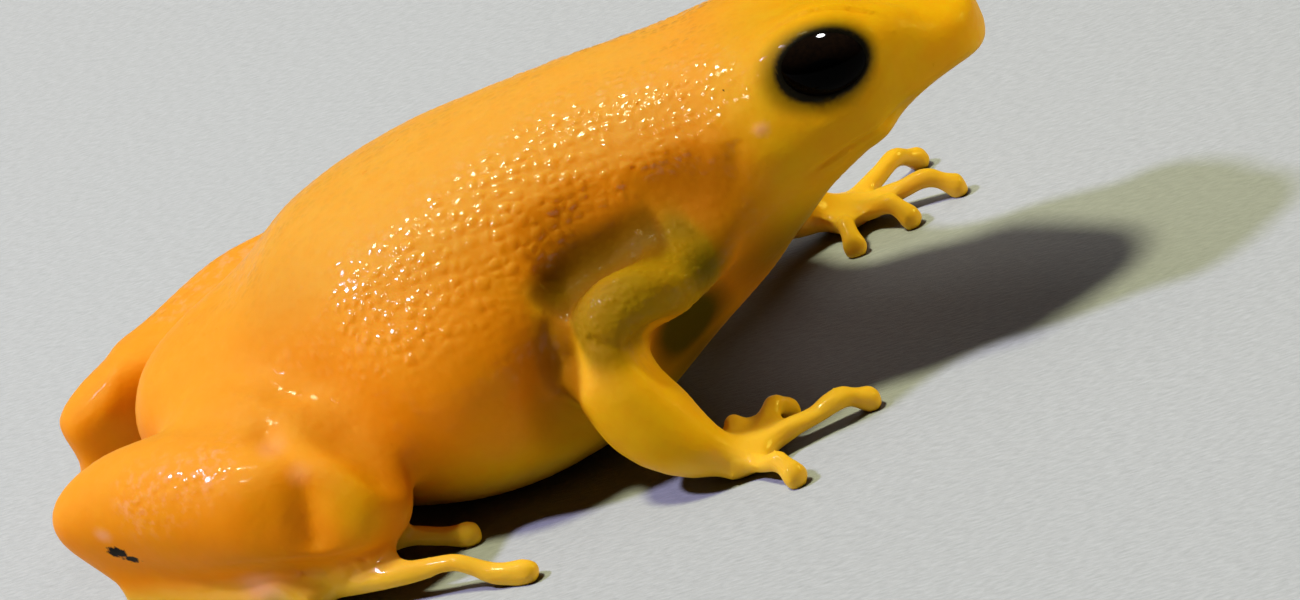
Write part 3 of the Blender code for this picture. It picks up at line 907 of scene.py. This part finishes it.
TUGS: tuple[tuple[Dab, Point], ...] = (
    (Dab((9.2, 0.0, 6.9), (2.4, 3.6, 1.1), sides=()), (0.0, 0.0, 0.10)),
    (Dab((6.5, 0.0, 5.4), (2.6, 3.4, 1.7), sides=()), (-0.10, 0.0, 0.45)),
    (Dab((-8.8, 9.2, 3.2), (3.6, 2.4, 3.2), sides=NEAR), (-0.11, 0.80, -0.32)),
    (Dab((-10.4, 8.0, 1.2), (3.8, 2.0, 1.2), sides=NEAR), (0.0, 0.0, 0.45)),
    (Dab((-7.6, 8.1, 0.6), (3.2, 0.9, 1.0), sides=NEAR), (0.04, -0.30, 0.12)),
    (Dab((-5.9, 8.9, 0.6), (1.2, 0.8, 0.9), sides=NEAR), (0.0, 0.0, 0.22)),
    (Dab((-4.3, 9.5, 0.3), (1.0, 0.8, 0.6), sides=NEAR), (0.25, 0.1, 0.0)),
    (Dab((2.6, 7.6, 0.8), (1.1, 1.3, 0.9), sides=NEAR), (-0.04, 0.0, -0.22)),
    (Dab((-7.2, 6.4, 4.2), (2.2, 1.6, 1.8), sides=NEAR), (-0.55, 0.0, -0.85)),
    (Dab((-1.7, 6.1, 4.5), (1.2, 1.2, 1.9), sides=NEAR), (0.28, 0.0, 0.0)),
    (Dab((4.1, 5.8, 0.9), (1.2, 1.0, 0.9), sides=NEAR), (0.0, 0.0, -0.20)),
    (Dab((-16.6, 4.0, 3.9), (1.6, 3.0, 1.6), sides=FAR), (0.60, 0.0, -0.10)),
    (Dab((-16.6, 4.2, 3.4), (1.5, 2.2, 1.7), sides=NEAR), (-0.18, 0.0, 0.0)),
    (Dab((-16.6, 4.2, 1.0), (1.6, 2.2, 1.3), sides=NEAR), (0.80, 0.0, 0.0)),
    (Dab((0.75, 5.9, 3.8), (0.9, 1.7, 1.0), sides=NEAR), (-0.60, 0.0, 0.15)),
    (Dab((-14.2, 5.2, 5.2), (3.8, 3.0, 2.2), sides=FAR), (0.15, 0.0, -0.75)),
    (Dab((-6.0, 0.0, 9.6), (6.0, 6.0, 3.5), sides=()), (0.05, 0.0, -0.33)),
    (Dab((-11.2, 0.0, 7.2), (3.4, 4.0, 2.5), sides=()), (0.10, 0.0, -0.45)),
    (Dab((3.0, 0.0, 10.3), (4.5, 3.5, 2.0), sides=()), (0.0, 0.0, -0.25)),
    (Dab((11.0, 0.0, 8.0), (2.2, 4.5, 2.2), sides=()), (0.15, 0.0, -0.03)),
    (Dab((10.2, 0.0, 7.3), (1.6, 3.6, 1.0), sides=()), (0.28, 0.0, -0.08)),
)

TRIMS: tuple[tuple[Dab, Point, Point], ...] = (
    (Dab((-7.0, 8.0, 3.5), (2.2, 2.1, 2.0), 1.25, NEAR), (-7.5, 6.0, 2.9), (0.75, 0.0, 0.66)),
    (Dab((-6.75, 6.35, 3.05), (1.2, 1.1, 0.9), 1.0, NEAR), (-7.1, 6.74, 3.0), (0.78, -0.33, 0.53)),
    (Dab((2.3, 5.0, 6.9), (2.9, 2.1, 1.9)), (2.2, 3.85, 6.3), (-0.05, 0.80, 0.60)),
    (Dab((0.0, 5.0, 7.2), (2.6, 1.9, 1.5)), (0.0, 4.5, 6.3), (-0.1, 0.75, 0.66)),
)

BROAD_MARKS: tuple[Dab | Stroke, ...] = (
    Dab((-4.8, 5.9, 4.0), (4.0, 2.8, 3.6), 0.70),
    Dab((-2.1, 5.5, 2.8), (1.8, 1.9, 2.4), -0.50),
    Stroke(((-1.9, 5.2, 5.9), (-1.2, 5.0, 6.1), (-0.5, 4.8, 6.25), (0.4, 4.7, 6.4), (1.2, 4.6, 6.4)),
           1.1, -0.50),
    Dab((9.0, 2.1, 9.0), (1.5, 1.3, 1.2), 0.42),
    Stroke(((0.1, 7.0, 4.4), (0.5, 6.5, 4.2), (0.8, 5.9, 4.0), (0.8, 5.2, 4.0)), 0.9, -0.36, NEAR),
    Dab((0.6, 6.1, 3.3), (0.7, 1.4, 1.2), -0.20, NEAR),
    Dab((-8.0, 7.7, 2.8), (1.4, 1.6, 1.7), 0.20, NEAR),
    Dab((7.75, 2.8, 6.5), (0.9, 1.0, 0.6), 0.12),
    Dab((8.45, 2.7, 6.9), (0.9, 0.9, 0.45), -0.18),
    Dab((-7.7, 9.0, 3.6), (1.3, 1.6, 1.8), 0.22, FAR),
    Stroke(((2.1, 7.0, 0.6), (3.2, 6.4, 0.7), (4.2, 5.8, 0.8), (5.0, 5.3, 0.5)), 0.5, 0.07, NEAR),
)

SMOOTHINGS: tuple[tuple[Dab, int], ...] = (
    (Dab((9.7, 0.0, 8.2), (2.6, 3.4, 2.0), sides=()), 60),
    (Dab((9.0, 2.2, 8.6), (1.9, 1.5, 1.2)), 40),
    (Dab((4.4, 3.9, 7.9), (1.3, 1.0, 1.3)), 60),
    (Dab((6.9, 2.9, 9.0), (3.2, 1.7, 2.9)), 70),
    (Dab((2.4, 4.7, 6.7), (2.6, 1.8, 1.8)), 100),
    (Dab((2.2, 4.6, 6.0), (2.2, 1.5, 1.5)), 300),
    (Dab((-1.6, 6.1, 4.4), (1.2, 1.2, 2.0), sides=NEAR), 90),
    (Dab((-8.0, 5.9, 4.0), (2.0, 1.4, 1.5), sides=NEAR), 200),
    (Dab((0.4, 6.4, 4.1), (1.3, 1.4, 1.3), sides=NEAR), 12),
    (Dab((-6.9, 6.5, 3.1), (1.8, 1.5, 1.8), sides=NEAR), 170),
    (Dab((-7.5, 8.2, 2.8), (2.4, 2.2, 2.4), sides=NEAR), 20),
    (Dab((-12.0, 7.0, 4.0), (5.0, 4.0, 4.0), sides=NEAR), 40),
    (Dab((-7.3, 9.2, 3.0), (2.0, 2.2, 2.4), sides=FAR), 20),
    (Dab((-12.0, 8.0, 4.0), (5.0, 4.0, 4.0), sides=FAR), 40),
    (Dab((-16.3, 4.2, 1.9), (1.6, 1.8, 1.7)), 60),
)

KNEE_FOLDS: dict[Side, tuple[Point, ...]] = {
    Side.RIGHT: ((-10.4, 5.6, 4.85), (-10.1, 6.0, 4.75), (-9.75, 6.7, 4.6), (-9.3, 7.4, 4.1),
                 (-9.2, 7.9, 3.4), (-9.4, 8.1, 2.5), (-9.4, 8.0, 1.7)),
    Side.LEFT: ((-10.2, 6.4, 5.4), (-9.4, 8.1, 5.2), (-9.0, 9.2, 4.6), (-8.9, 9.8, 4.0),
                (-8.9, 9.9, 2.8)),
}

FOLDS: tuple[Stroke, ...] = (
    *(Stroke(path, 0.80, -0.17, (side,)) for side, path in KNEE_FOLDS.items()),
    *(Stroke(path, 0.28, -0.06, (side,)) for side, path in KNEE_FOLDS.items()),
    Stroke(((-10.2, 4.7, 5.3), (-9.1, 5.0, 4.85), (-7.9, 5.6, 4.0), (-7.1, 5.9, 3.1), (-6.5, 6.1, 2.2)),
           0.55, -0.20, NEAR),
    Stroke(((-10.2, 4.9, 5.4), (-9.0, 5.2, 5.1), (-7.8, 5.9, 4.4), (-7.0, 6.2, 3.4), (-6.9, 6.0, 2.4)),
           0.60, -0.20, FAR),
)

TIPS: dict[Side, tuple[tuple[float, float], ...]] = {
    Side.RIGHT: ((1.7, 4.7), (3.2, 4.1), (5.55, 5.0), (3.3, 8.6),
                 (-10.8, 4.1), (-8.3, 4.6), (-5.6, 6.0), (-4.0, 9.4), (-10.0, 7.9)),
    Side.LEFT: ((5.3, 5.2), (7.1, 6.1), (8.6, 7.5), (7.5, 10.6),
                (-11.2, 4.1), (-8.7, 4.6), (-6.0, 6.0), (-4.6, 9.8), (-10.4, 7.9)),
}

FINE_MARKS: tuple[Dab | Stroke, ...] = (
    Stroke(((10.6, 0.9, 7.15), (9.9, 1.6, 7.1), (9.1, 2.2, 7.0), (8.4, 2.75, 6.9), (7.6, 3.2, 6.8),
            (6.8, 3.6, 6.7), (6.0, 3.88, 6.5), (5.4, 4.0, 6.3)), 0.16, -0.10),
    Dab((4.80, 3.9, 8.05), (0.34, 0.4, 0.26), 0.045),
    Stroke(((3.75, 3.8, 8.3), (3.45, 3.9, 7.7), (3.2, 4.2, 7.0), (3.0, 4.4, 6.4)), 0.55, 0.05),
    Stroke(((4.15, 3.9, 8.0), (3.95, 4.1, 7.4), (3.75, 4.3, 6.8)), 0.35, -0.05),
    Stroke(((-1.6, 5.8, 5.2), (-1.0, 5.3, 5.45), (-0.5, 5.1, 5.7), (0.05, 5.0, 5.88), (0.57, 4.9, 6.03),
            (1.1, 4.6, 6.1)), 0.34, -0.12),
    Stroke(((-1.8, 5.2, 5.4), (-2.0, 5.5, 4.9), (-2.1, 5.5, 4.3), (-2.15, 5.5, 3.6), (-2.0, 5.5, 2.9)),
           0.40, -0.14, NEAR),
    Stroke(((-1.1, 6.4, 4.9), (-0.7, 6.67, 4.66), (-0.2, 6.5, 4.4), (0.3, 6.2, 4.15)), 0.28, -0.10, NEAR),
)

WET_BAND = Stroke(((-7.8, 5.1, 5.5), (-6.1, 5.1, 6.6), (-4.5, 4.8, 7.2), (-2.5, 4.2, 7.8),
                   (-0.4, 3.2, 8.8), (1.9, 2.9, 9.1), (3.7, 2.4, 9.6), (5.4, 2.75, 9.8),
                   (6.4, 2.8, 10.1)), 3.0, 1.0)
ARMPIT = Stroke(((-2.2, 5.3, 5.2), (-1.3, 5.0, 5.75), (-0.5, 4.6, 6.05), (0.9, 4.45, 6.25),
                 (1.9, 4.4, 6.35)), 1.45, 1.0)
ELBOW_EDGE = Stroke(((-1.5, 5.4, 5.5), (-1.9, 5.55, 4.9), (-2.05, 5.65, 4.2), (-2.0, 5.9, 3.6),
                     (-1.8, 6.2, 2.9), (-1.4, 6.5, 2.2)), 1.1, 1.0, NEAR)
UPPER_ARM = Stroke(((-1.7, 6.0, 4.9), (-0.6, 6.3, 5.3), (0.5, 6.1, 5.6), (1.7, 5.4, 5.7),
                    (2.9, 4.6, 5.6)), 2.3, 1.0)
SHOULDER = Dab((1.0, 5.2, 6.1), (4.2, 2.4, 2.0))
SHANK_TOP = Stroke(((-14.6, 5.6, 3.9), (-13.4, 6.5, 4.2), (-12.3, 6.9, 4.6), (-11.2, 6.9, 4.8),
                    (-10.4, 6.9, 4.8)), 1.5, 1.0)


def covered(points: np.ndarray, dabs: Iterable[Dab]) -> np.ndarray:
    """Finds the strongest of several zones.

    Args:
        points: The points to measure.
        dabs: The zones.

    Returns:
        The greatest share times amount at each point.
    """
    total = np.zeros(len(points))
    for dab in dabs:
        total = np.maximum(total, dab.weight(points) * dab.amount)
    return total


def grains(points: np.ndarray) -> np.ndarray:
    """The height of the grains of the back, which are finer towards the head, from 0 to 1."""
    front = ease((points[:, 0] + 0.5) / 4.0)
    return pebbles(points, GRAIN, 11) * (1 - front) + pebbles(points, FRONT_GRAIN, 23) * front


def grain_mask(points: np.ndarray) -> np.ndarray:
    """How strongly the skin is grained: full on the back, fading to the belly and limbs."""
    x, y, z = points.T
    trunk = ease((7.0 - np.abs(y)) / 1.0) * ease((z - 1.5) / 3.5)
    fore_and_aft = ease((x + 13.5) / 4.0) * (1 - 0.8 * ease((x - 2.5) / 3.0))
    band = 0.22 + 0.78 * ease(1.6 * WET_BAND.weight(points))
    back = trunk * fore_and_aft * band * (1 - ARMPIT.weight(points))
    return np.maximum(back, 0.5 * SHANK_TOP.weight(points)) + 0.06


def wet_mask(points: np.ndarray) -> np.ndarray:
    """Where the skin has a wet coat: on the grains, and more thinly on hands and feet."""
    limbs = 0.30 * ease((1.5 - points[:, 2]) / 0.6) + 0.03
    beads = (grain_mask(points) - 0.06) * ease((grains(points) - 0.15) / 0.5)
    foot = Dab((-10.9, 7.7, 1.0), (1.6, 0.9, 0.7), 0.9).weight(points)
    return np.max([1.6 * beads, limbs, foot], axis=0) * (1 - 0.8 * SHOULDER.weight(points))


def yellow_mask(points: np.ndarray) -> np.ndarray:
    """Where the skin is yellow: low on the flanks, on the throat, the arms and the feet."""
    x, y, z = points.T
    belly = ease((4.2 - z) / 3.6) * ease((x + 8.0) / 3.0)
    front = ease((x - 2.8) / 2.6) * 0.90
    sole = ease((1.4 - z) / 0.8)
    arm = ease((np.abs(y) - 4.6) / 0.8) * ease((x + 2.6) / 0.8) * ease((6.6 - z) / 0.8)
    knee = covered(points, (Dab((-8.0, 8.2, 3.0), (1.5, 1.8, 1.8), 0.8),))
    return np.max([belly, front, sole, arm, ease(2 * UPPER_ARM.weight(points)), knee], axis=0)


def painted_sheen_mask(points: np.ndarray, normals: np.ndarray) -> np.ndarray:
    """Where a painted sheen lightens the skin: on what faces up towards the lamps along the back and the
    legs.
    """
    upward = normals @ np.array([-0.33, -0.10, 0.94])
    high = 0.55 + 0.45 * ease((points[:, 2] - 6.0) / 2.0)
    along = ease((7.5 - points[:, 0]) / 6.0)
    return ease((upward - 0.25) / 0.7) * along * high * (1 - SHOULDER.weight(points))


def olive_and_shade_mask(points: np.ndarray) -> np.ndarray:
    """Where olive is laid on: painted shade round the eyes, in the armpits, by the elbows and on the
    chest, painted shade together with the skin's own olive tinge on the upper arms, and a light tinge of
    its own on the top of the head.
    """
    arm = ease(1.6 * UPPER_ARM.weight(points)) * 0.62
    edge = 0.3 * ELBOW_EDGE.weight(points)
    zones = covered(points, (
        Dab((2.4, 5.2, 5.3), (2.3, 2.0, 1.8), 0.95),
        Dab((1.3, 3.8, 3.3), (2.6, 2.2, 2.8), 1.3),
        Dab((6.0, 1.5, 10.2), (4.0, 3.5, 1.6), 0.14),
        Dab((3.8, 2.5, 4.4), (3.2, 4.0, 2.4), 0.75),
        Dab((0.5, 2.5, 2.7), (2.8, 2.6, 2.6), 1.1),
        Dab((-2.2, 5.4, 2.6), (1.8, 1.6, 2.2), 0.35),
    ))
    zones = np.max([zones, arm, edge, 0.7 * ARMPIT.weight(points)], axis=0)
    return np.maximum(zones, 0.75 * Lids().shade(points, 1.02, 1.30, back=0.9))


def pink_highlight_mask(points: np.ndarray) -> np.ndarray:
    """Where pinkish highlights are painted: at the ear drums, the heels, the folds of the knees and the
    feet.
    """
    return covered(points, (
        Dab((4.85, 3.95, 8.05), (0.34, 0.4, 0.24), 0.6),
        Dab((-15.25, 5.65, 3.15), (0.45, 0.5, 0.3), 0.6),
        Dab((-9.8, 6.8, 4.8), (0.6, 0.9, 0.6), 0.5),
        Dab((-9.2, 8.0, 4.2), (0.5, 0.8, 0.6), 0.5),
        Dab((-11.4, 7.3, 1.1), (1.4, 0.9, 0.6), 0.75, NEAR),
        Dab((-12.0, 6.9, 1.0), (1.4, 0.8, 0.7), 0.5, FAR),
    ))


def painted_shade_mask(points: np.ndarray) -> np.ndarray:
    """Where shade is painted in a deeper orange: round the shoulder, in the armpit, by the elbow and
    under the thigh.
    """
    armpit = ease(1.5 * ARMPIT.weight(points))
    elbow = 0.9 * ease(1.5 * ELBOW_EDGE.weight(points))
    zones = covered(points, (
        Dab((2.9, 4.2, 7.0), (2.9, 1.8, 1.9), 0.95),
        Dab((-0.6, 4.6, 6.9), (2.4, 1.8, 1.5), 0.5),
        Dab((-2.4, 5.6, 4.2), (1.5, 1.5, 2.4), 0.6),
        Dab((-9.5, 3.0, 7.2), (3.4, 3.4, 2.2), 0.2),
        Dab((-11.0, 8.2, 1.9), (4.2, 1.6, 1.1), 0.35),
    ))
    return np.max([armpit, elbow, zones], axis=0)


def lit_yellow_mask(points: np.ndarray) -> np.ndarray:
    """Painted light: a brighter yellow laid on the hands and the feet."""
    x, y, z = points.T
    return 0.5 * ease((1.5 - z) / 0.7) * ease((np.abs(y) - 4.2) / 0.8)


def black_mask(points: np.ndarray) -> np.ndarray:
    """Small black marks on the heel and the temple."""
    return covered(points, (
        Dab((-15.05, 5.65, 2.58), (0.62, 0.7, 0.36), 1.1, NEAR),
        Dab((-14.70, 5.85, 2.32), (0.48, 0.6, 0.30), 1.0, NEAR),
        Dab((4.18, 3.13, 9.07), (0.10, 0.12, 0.10), 0.9, NEAR),
    ))


# ---- The set ----


@dataclass(frozen=True)
class Lamp:
    """A round soft lamp.

    Attributes:
        name: Its name.
        towards: The direction from the frog to the lamp.
        distance: How far away it stands, in millimetres.
        width: Its width, in millimetres.
        light: The red, green and blue light that it puts on a surface that faces it.
        shines_on: The names of the only objects that it lights; none to light them all.
    """

    name: str
    towards: Point
    distance: float
    width: float
    light: Point
    shines_on: tuple[str, ...] = ()

    def build(self) -> None:
        """Hangs the lamp."""
        data = bpy.data.lights.new(self.name, "AREA")
        data.shape = "DISK"
        data.size = self.width * MM
        strength = max(self.light)
        data.color = [channel / strength for channel in self.light]
        data.energy = strength * math.pi * (self.distance * MM) ** 2
        lamp = bpy.data.objects.new(self.name, data)
        direction = Vector(self.towards).normalized()
        lamp.location = to_frame((0.0, 0.0, 4.0)) + direction * self.distance * MM
        lamp.rotation_euler = direction.to_track_quat("Z", "Y").to_euler()
        bpy.context.scene.collection.objects.link(lamp)
        if self.shines_on:
            lit = bpy.data.collections.new(f"lit_by_{self.name}")
            for name in self.shines_on:
                lit.objects.link(bpy.data.objects[name])
            lamp.light_linking.receiver_collection = lit


@dataclass(frozen=True)
class Studio:
    """The floor, the lamps, the faint light from all round and the camera."""

    floor_size: float = 900.0
    picture_width: int = 1300       # pixels
    ambient: Point = (0.020, 0.019, 0.018)
    lamps: tuple[Lamp, ...] = (
        Lamp("lamp_high", (-0.25, -0.02, 0.967), 500.0, 80.0, (1.60, 1.70, 1.10), ("skin",)),
        Lamp("lamp_side", (-0.60, -0.145, 0.785), 220.0, 20.0, (1.22, 1.22, 1.90), ("skin",)),
        Lamp("lamp_sky", (-0.35, 0.25, 0.90), 400.0, 300.0, (0.38, 0.38, 0.33), ("skin",)),
        Lamp("lamp_back", (-0.88, -0.30, 0.38), 300.0, 160.0, (0.36, 0.32, 0.22), ("skin",)),
        Lamp("lamp_face", (0.92, 0.24, 0.34), 300.0, 100.0, (1.60, 1.40, 0.20), ("skin",)),
        Lamp("lamp_glint", (-0.36, -0.48, 0.80), 250.0, 10.0, (0.42, 0.40, 0.34), ("skin",)),
        Lamp("floor_high", (-0.25, -0.04, 0.967), 500.0, 80.0, (7.95, 8.20, 5.10), ("floor",)),
        Lamp("floor_side", (-0.60, -0.10, 0.785), 400.0, 36.0, (5.70, 5.60, 8.80), ("floor",)),
        Lamp("floor_sky", (-0.35, 0.25, 0.90), 400.0, 300.0, (1.50, 1.45, 1.30), ("floor",)),
        Lamp("floor_far", (0.15, 0.88, 0.45), 300.0, 200.0, (1.35, 1.35, 1.35), ("floor",)),
        Lamp("lamp_eyes", (0.12, 0.28, 0.95), 400.0, 75.0, (28.0, 28.0, 28.0),
             ("eye_right_globe", "eye_left_globe")),
    )
    aim: Point = (0.0, 0.0, 2.737)
    lens: float = 150.0
    sensor: float = 36.0
    scale: float = 36.6             # pixels to a millimetre at the aim
    azimuth: float = 8.0
    elevation: float = 22.0
    roll: float = 20.0

    def build(self) -> None:
        """Sets up everything."""
        self.lay_floor()
        for lamp in self.lamps:
            lamp.build()
        world = bpy.data.worlds.new("studio")
        world.use_nodes = True
        world.node_tree.nodes["Background"].inputs["Color"].default_value = (*self.ambient, 1.0)
        bpy.context.scene.world = world
        bpy.context.scene.view_settings.view_transform = "Standard"
        self.place_camera()

    def lay_floor(self) -> None:
        """Lays the pale floor."""
        deselect_all()
        bpy.ops.mesh.primitive_plane_add(size=self.floor_size * MM, location=(0, 0, 0))
        floor = bpy.context.object
        floor.name = "floor"
        floor.data.materials.append(FloorFinish().build())

    def place_camera(self) -> None:
        """Stands the camera low beside the frog's right flank, rolled as the picture is."""
        azimuth, elevation, roll = (
            math.radians(angle) for angle in (self.azimuth, self.elevation, self.roll)
        )
        back = Vector((
            math.sin(azimuth) * math.cos(elevation),
            -math.cos(azimuth) * math.cos(elevation),
            math.sin(elevation),
        ))
        level = Vector((math.cos(azimuth), math.sin(azimuth), 0.0))
        upright = back.cross(level)
        right = level * math.cos(roll) - upright * math.sin(roll)
        up = level * math.sin(roll) + upright * math.cos(roll)
        distance = self.lens * self.picture_width / self.sensor / self.scale
        data = bpy.data.cameras.new("camera")
        data.lens = self.lens
        data.sensor_width = self.sensor
        data.clip_start = 5 * MM
        data.clip_end = 5.0
        camera = bpy.data.objects.new("camera", data)
        turn = Matrix((right, up, back)).transposed()
        stand = to_frame(self.aim) + back * distance * MM
        camera.matrix_world = Matrix.Translation(stand) @ turn.to_4x4()
        bpy.context.scene.collection.objects.link(camera)
        bpy.context.scene.camera = camera


def main() -> None:
    """Builds the frog and the studio, and logs what it made and how many faces the skin has."""
    logging.basicConfig(level=logging.INFO, format="%(name)s: %(message)s")
    for side in Side:
        LOG.info("made %s", Eyeball(side).build().name)
    skin = FrogSkin().build()
    LOG.info("made %s with %d faces", skin.name, len(skin.data.polygons))
    Studio().build()


if __name__ == "__main__":
    main()
